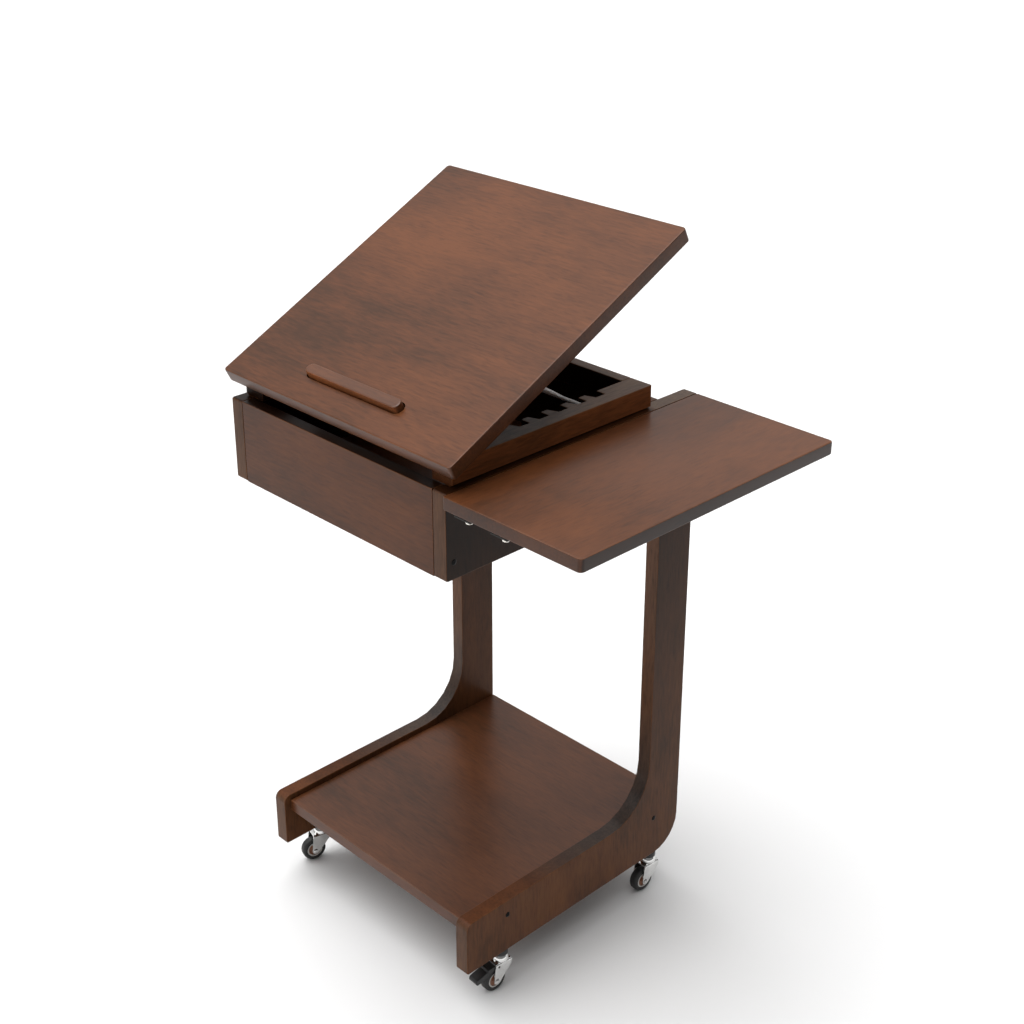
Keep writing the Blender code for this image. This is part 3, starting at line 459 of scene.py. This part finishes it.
def wood(name, grain, shift, tone, gloss, shade=None):
    """Dark stained wood with its grain along one axis: planks, blotches, figure, fibres and pores."""
    material, tree, shader = blank(name)
    true_place = object_place(tree)
    place = wander(tree, true_place, shift)
    across = {"X": "Y", "Y": "X", "Z": "Y"}[grain]

    def stretched(length):
        return tuple(length if axis == grain else 1.0 for axis in "XYZ")

    def pattern(scale, length, detail, roughness):
        return noise(tree, place, scale, stretched(length), detail, roughness, shift)

    blotch = pattern(*BLOTCH_NOISE)
    cloud = pattern(*CLOUD_NOISE)
    fibre = pattern(*FIBRE_NOISE)
    pores = pattern(*PORE_NOISE)
    settings = {"Vector": place, "Scale": stretched(FIGURE_STRETCH), "Location": shift}
    bands = {"Vector": add_node(tree, "ShaderNodeMapping", settings).outputs[0], **FIGURE_BANDS}
    figure = add_node(tree, "ShaderNodeTexWave", bands, bands_direction=across).outputs["Fac"]
    strip = math_node(tree, "DIVIDE", split(tree, true_place)["XYZ".index(across)], PLANK)
    strip = math_node(tree, "FLOOR", strip)
    plank = add_node(tree, "ShaderNodeTexWhiteNoise", {"W": strip}, noise_dimensions="1D").outputs["Value"]

    stain = spread(tree, blotch, *NOISE_RANGE, *BLOTCH_STAIN)
    layers = (
        spread(tree, cloud, *NOISE_RANGE, *CLOUD_STAIN),
        blend(tree, figure, *FIGURE_STAIN),
        spread(tree, fibre, *NOISE_RANGE, *FIBRE_STAIN),
        blend(tree, plank, *PLANK_STAIN),
    )
    for layer in layers:
        stain = math_node(tree, "ADD", stain, layer)
    colour = ramp(tree, stain, [(level, scaled(stop, tone)) for level, stop in STAIN_STOPS])
    pore = spread(tree, pores, *PORE_RANGE, *PORE_LEAVES)
    colour = multiply(tree, colour, grey(tree, pore))
    # Painted light and shade of the piece, where it has any
    if shade:
        colour = multiply(tree, colour, shade(tree))
    # Wear and a painted highlight along the edges, in a paler colour
    wear_and_highlight = math_node(tree, "MULTIPLY", edge_mask(tree), spread(tree, cloud, *NOISE_RANGE, *WEAR_HIGHLIGHT_SHARE))
    colour = mix_colour(tree, wear_and_highlight, colour, EDGE_WEAR_HIGHLIGHT)
    tree.links.new(colour, shader.inputs["Base Color"])
    tree.links.new(spread(tree, cloud, *NOISE_RANGE, *LACQUER), shader.inputs["Roughness"])
    shader.inputs["Specular IOR Level"].default_value = gloss
    relief = math_node(tree, "ADD", fibre, math_node(tree, "MULTIPLY", pore, PORE_DEPTH))
    bump(tree, shader, relief, *WOOD_BUMP)
    return material


def metal(name, colour, roughness, brushing, bright_below=None):
    """Plated metal with faint smears; brushing is the scale of its fine streaks.

    Where bright_below is given, only what lies below that height is bright, as screws under a dark plate.
    """
    material, tree, shader = blank(name)
    place = object_place(tree)
    smear = noise(tree, place, **SMEAR_NOISE)
    brush = noise(tree, place, brushing, **BRUSH_NOISE)
    dull = scaled(colour, SMEAR_DULL)
    plating = mix_colour(tree, spread(tree, smear, *SMEAR_RANGE), colour, dull)
    if bright_below is not None:
        height = split(tree, place)[2]
        above = spread(tree, height, bright_below, bright_below + STRAP_BLEND)
        plating = mix_colour(tree, above, plating, mix_colour(tree, smear, *DARK_PLATE))
    tree.links.new(plating, shader.inputs["Base Color"])
    tree.links.new(spread(tree, smear, *NOISE_RANGE, *roughness), shader.inputs["Roughness"])
    shader.inputs["Metallic"].default_value = 1.0
    bump(tree, shader, brush, *BRUSH_BUMP)
    return material


def moulded(name, colours, roughness, grain):
    """Paint, moulded plastic or rubber with a fine skin and a little dust."""
    material, tree, shader = blank(name)
    place = object_place(tree)
    dust = noise(tree, place, **DUST_NOISE)
    colour = mix_colour(tree, spread(tree, dust, *DUST_RANGE), *colours)
    tree.links.new(colour, shader.inputs["Base Color"])
    low, high = roughness - DUST_SMOOTHER, roughness + DUST_ROUGHER
    tree.links.new(spread(tree, dust, *NOISE_RANGE, low, high), shader.inputs["Roughness"])
    bump(tree, shader, noise(tree, place, grain), *SKIN_BUMP)
    return material


def wheel_hub(name, centre, axis):
    """Brown hub with a pale rim, told apart by the distance from the axle."""
    material, tree, shader = blank(name)
    place = object_place(tree)
    arm = vector_node(tree, "SUBTRACT", {0: place, 1: centre})
    cross = vector_node(tree, "CROSS_PRODUCT", {0: arm, 1: axis})
    reach = vector_node(tree, "LENGTH", {0: cross}, "Value")
    ring = spread(tree, reach, HUB_RIM - HUB_BLEND, HUB_RIM + HUB_BLEND)
    cloud = noise(tree, place, **HUB_NOISE)
    mottle = spread(tree, cloud, *NOISE_RANGE)
    brown = mix_colour(tree, mottle, *HUB_BROWN)
    pale = mix_colour(tree, mottle, *HUB_PALE)
    tree.links.new(mix_colour(tree, ring, brown, pale), shader.inputs["Base Color"])
    tree.links.new(spread(tree, cloud, *NOISE_RANGE, *HUB_ROUGHNESS), shader.inputs["Roughness"])
    bump(tree, shader, noise(tree, place, HUB_SKIN), *HUB_BUMP)
    return material


def wood_looks():
    """Grain, shift of the pattern, tone, gloss, and the painted light and shade of each wooden solid,
    which on the side frames also holds darker sawn edges.
    """
    rail_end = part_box("rail_right")[0].y
    return {
        # Painted shade on the narrow sides and fronts of the board and the leaf
        "tilt_board": ("X", (0.31, 0.12, 0.40), 0.95, 0.22, painted_shade_sides(side=0.6, front=0.9)),
        # Painted light on the stop bar's front
        "stop_bar": ("X", (1.70, 0.30, 0.20), 0.82, 0.36, painted_front_light),
        "shelf": ("X", (0.80, 0.45, 0.10), 0.76, 0.30),
        "side_leaf": ("Y", (0.25, 0.55, 0.35), 0.82, 0.29, painted_shade_sides(side=0.22, front=0.6)),
        # Panels, bottom and rails: painted shade inside the box, painted light on the rails' outsides and
        # tops
        "front_panel": ("X", (0.10, 0.90, 0.60), 0.74, 0.18, painted_box_shade(FRONT, top=INSIDE_SHADE)),
        "back_panel": ("X", (0.50, 1.90, 0.20), 0.8, 0.18, painted_box_shade(BACK)),
        "box_bottom": ("X", (0.20, 0.70, 2.10), 0.8, 0.18, painted_box_shade(DOWN)),
        "rail_left": ("Y", (0.60, 0.10, 1.20), 1.0, 0.05, rail_painted_shade("rail_left", LEFT)),
        "rail_right": ("Y", (1.10, 0.20, 0.50), 1.0, 0.05, rail_painted_shade("rail_right", RIGHT, rail_end)),
        "rail_rear": ("X", (0.40, 1.30, 0.90), 1.0, 0.05, rail_painted_shade("rail_rear", BACK)),
        "rail_front": ("X", (0.90, 0.60, 1.50), 1.0, 0.05, rail_painted_shade("rail_front", FRONT)),
        # Side frames: darker sawn edges, with painted light, shade and sheen
        "side_frame_left": ("Z", (1.40, 0.80, 0.30), 0.60, 0.10, frame_stain_and_painted_light),
        "side_frame_right": ("Z", (0.70, 1.60, 0.45), 0.60, 0.10, frame_stain_and_painted_light),
    }


def dress(nodes, slots, joints):
    """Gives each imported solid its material."""
    strap_under = joints["leaf_fold"]["pos_m"][2] + STRAP_RISE
    wire = moulded("white_wire", WIRE_WHITE, roughness=0.36, grain=900.0)
    strap = metal("strap_plate", STRAP, roughness=(0.18, 0.26), brushing=500.0, bright_below=strap_under)
    looks = {
        "chrome": metal("chrome_plate", CHROME, roughness=(0.07, 0.16), brushing=300.0),
        "steel": metal("zinc_plate", ZINC, roughness=(0.28, 0.42), brushing=700.0),
        "plastic": moulded("black_plastic", PLASTIC, roughness=0.40, grain=1300.0),
        "tyre": moulded("black_rubber", RUBBER, roughness=0.52, grain=900.0),
    }
    woods = wood_looks()
    for name, item in nodes.items():
        if name in woods:
            look = wood(f"stained_wood_{name}", *woods[name])
        elif name.startswith("wheel_hub"):
            spin = joints[name.replace("wheel_hub", "spin")]
            look = wheel_hub(name.replace("wheel_hub", "hub"), spin["pos_m"], spin["axis"])
        elif name.startswith("prop"):
            look = wire
        elif name.startswith("leaf_hinge_strap"):
            look = strap
        else:
            look = looks[slots[name]]
        item.data.materials[0] = look


def smoothing():
    """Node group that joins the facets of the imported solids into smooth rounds."""
    group = bpy.data.node_groups.new("smooth_rounds", "GeometryNodeTree")
    group.interface.new_socket("Geometry", in_out="INPUT", socket_type="NodeSocketGeometry")
    group.interface.new_socket("Geometry", in_out="OUTPUT", socket_type="NodeSocketGeometry")
    start = add_node(group, "NodeGroupInput").outputs[0]
    welding = {"Geometry": start, "Distance": WELD}
    joined = add_node(group, "GeometryNodeMergeByDistance", welding).outputs[0]
    angle = add_node(group, "GeometryNodeInputMeshEdgeAngle").outputs["Unsigned Angle"]
    sharp = add_node(group, "FunctionNodeCompare", {0: angle, 1: SMOOTH_LIMIT}, operation="GREATER_THAN")
    settings = {
        "Mesh": joined,
        "Remove Custom": True,
        "Edge Sharpness": sharp.outputs[0],
        "Face Sharpness": False,
    }
    shaded = add_node(group, "GeometryNodeSetMeshNormal", settings, mode="SHARPNESS").outputs[0]
    add_node(group, "NodeGroupOutput", {0: shaded})
    return group


def smooth(nodes):
    """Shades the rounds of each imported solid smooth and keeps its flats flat."""
    group = smoothing()
    for item in nodes.values():
        item.modifiers.new("smooth_rounds", "NODES").node_group = group
        weighted = item.modifiers.new("flat_faces", "WEIGHTED_NORMAL")
        weighted.keep_sharp = True
        weighted.weight = FLAT_WEIGHT


def turned(profile, sides):
    """Profile of (radius, height) points spun about Z."""
    bm = bmesh.new()
    verts = [bm.verts.new((radius, 0, height)) for radius, height in profile]
    for start, end in zip(verts, verts[1:]):
        bm.edges.new((start, end))
    geometry = bm.verts[:] + bm.edges[:]
    bmesh.ops.spin(bm, geom=geometry, axis=UP, angle=2 * math.pi, steps=sides, use_merge=True)
    bmesh.ops.remove_doubles(bm, verts=bm.verts, dist=SPIN_WELD)
    bmesh.ops.recalc_face_normals(bm, faces=bm.faces)
    return bm


def link(name, bm, material=None):
    """Object in the scene, made from a bmesh."""
    mesh = bpy.data.meshes.new(name)
    bm.to_mesh(mesh)
    bm.free()
    if material:
        mesh.materials.append(material)
    item = bpy.data.objects.new(name, mesh)
    bpy.context.collection.objects.link(item)
    return item


def screw_mesh(radius, height):
    """Countersunk screw head with a dished rim and a cross recess."""
    profile = [(radius * across, height * up) for across, up in SCREW_PROFILE]
    head = link("screw_blank", turned(profile, SCREW_SIDES))
    cross = bmesh.new()
    for long, wide in ((CROSS_LONG, CROSS_WIDE), (CROSS_WIDE, CROSS_LONG)):
        size = Matrix.Diagonal((radius * long, radius * wide, height * CROSS_DEEP, 1))
        bmesh.ops.create_cube(cross, size=1.0, matrix=Matrix.Translation((0, 0, height)) @ size)
    cutter = link("screw_cross", cross)
    modifier = head.modifiers.new("cross", "BOOLEAN")
    modifier.operation = "DIFFERENCE"
    modifier.solver = "EXACT"
    modifier.use_self = True
    modifier.object = cutter
    shaped = head.evaluated_get(bpy.context.evaluated_depsgraph_get())
    mesh = bpy.data.meshes.new_from_object(shaped)
    bpy.data.objects.remove(head)
    bpy.data.objects.remove(cutter)
    mesh.shade_smooth()
    mesh.set_sharp_from_angle(angle=SCREW_SHARP)
    return mesh


def screw(name, mesh, place, out, body, turn):
    """Places a screw head with its flat face looking along out."""
    item = bpy.data.objects.new(name, mesh)
    bpy.context.collection.objects.link(item)
    aim = Vector(UP).rotation_difference(Vector(out)).to_matrix().to_4x4()
    item.matrix_world = Matrix.Translation(place) @ aim @ Matrix.Rotation(turn, 4, "Z")
    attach(item, body)


def make_screws():
    """Black screws in the side frames."""
    mesh = screw_mesh(SCREW_RADIUS, SCREW_HEIGHT)
    mesh.materials.append(metal("black_screw", BLACK_STEEL, roughness=(0.30, 0.42), brushing=700.0))
    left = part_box("side_frame_left")[0][0]
    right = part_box("side_frame_right")[1][0]
    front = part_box("side_frame_left")[0][1]
    for name, (y, z) in SCREW_SEATS.items():
        screw(f"screw_right_{name}", mesh, (right, front + y, z), RIGHT, "base", TURN_RIGHT)
        screw(f"screw_left_{name}", mesh, (left, front + y, z), LEFT, "base", TURN_LEFT)


def lay_floor():
    """Pale round floor."""
    material, tree, shader = blank("pale_floor")
    colour = mix_colour(tree, noise(tree, object_place(tree), **FLOOR_NOISE), *FLOOR_TONES)
    tree.links.new(colour, shader.inputs["Base Color"])
    shader.inputs["Roughness"].default_value = FLOOR_ROUGHNESS
    shader.inputs["Specular IOR Level"].default_value = FLOOR_GLOSS
    floor = bmesh.new()
    bmesh.ops.create_circle(floor, cap_ends=True, radius=FLOOR_RADIUS, segments=FLOOR_SIDES)
    item = link("studio_floor", floor, material)
    item.location.z = -FLOOR_DROP


def make_sky(scene):
    """Light gathered overhead, with a pale backdrop where the camera looks past the floor."""
    world = bpy.data.worlds.new("studio_world")
    world.use_nodes = True
    scene.world = world
    tree = world.node_tree
    direction = add_node(tree, "ShaderNodeTexCoord").outputs["Generated"]
    height = along(tree, direction, Vector(SKY_WAY).normalized())
    gather = math_node(tree, "POWER", math_node(tree, "MAXIMUM", height), SKY_POWER)
    level = blend(tree, gather, SKY_LOW, SKY_LOW + SKY_HIGH)
    toward = along(tree, direction, Vector(GLOW_WAY).normalized())
    level = math_node(tree, "ADD", level, spread(tree, toward, *GLOW_RANGE, 0.0, GLOW))
    looked_at = add_node(tree, "ShaderNodeLightPath").outputs["Is Camera Ray"]
    colour = mix_colour(tree, looked_at, grey(tree, level), BACKDROP)
    tree.links.new(colour, tree.nodes["Background"].inputs["Color"])


def place_sun(scene):
    """Soft sun from the front left."""
    data = bpy.data.lights.new("key", "SUN")
    data.energy = SUN_STRENGTH
    data.angle = SUN_ANGLE
    item = bpy.data.objects.new("key", data)
    item.rotation_euler = Vector(SUN_PLACE).to_track_quat("Z", "Y").to_euler()
    scene.collection.objects.link(item)


def place_camera(scene):
    """The photograph's camera."""
    data = bpy.data.cameras.new("camera")
    data.lens = CAMERA_LENS
    data.sensor_width = CAMERA_SENSOR
    data.shift_y = CAMERA_SHIFT
    data.clip_end = CAMERA_REACH
    camera = bpy.data.objects.new("camera", data)
    camera.location = CAMERA_PLACE
    camera.rotation_euler = CAMERA_TURN
    scene.collection.objects.link(camera)
    scene.camera = camera


def studio():
    """Pale floor, soft light and the photograph's camera."""
    scene = bpy.context.scene
    scene.view_settings.view_transform = "Standard"
    lay_floor()
    make_sky(scene)
    place_sun(scene)
    place_camera(scene)


for old in list(bpy.data.objects):
    bpy.data.objects.remove(old, do_unlink=True)
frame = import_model()
part_slots = {part["node"]: part["material_slot"] for part in frame["record"]["subparts"]}
part_joints = {joint["name"]: joint for joint in frame["joints"]}
dress(frame["nodes"], part_slots, part_joints)
smooth(frame["nodes"])
make_screws()
studio()
bpy.context.view_layer.update()
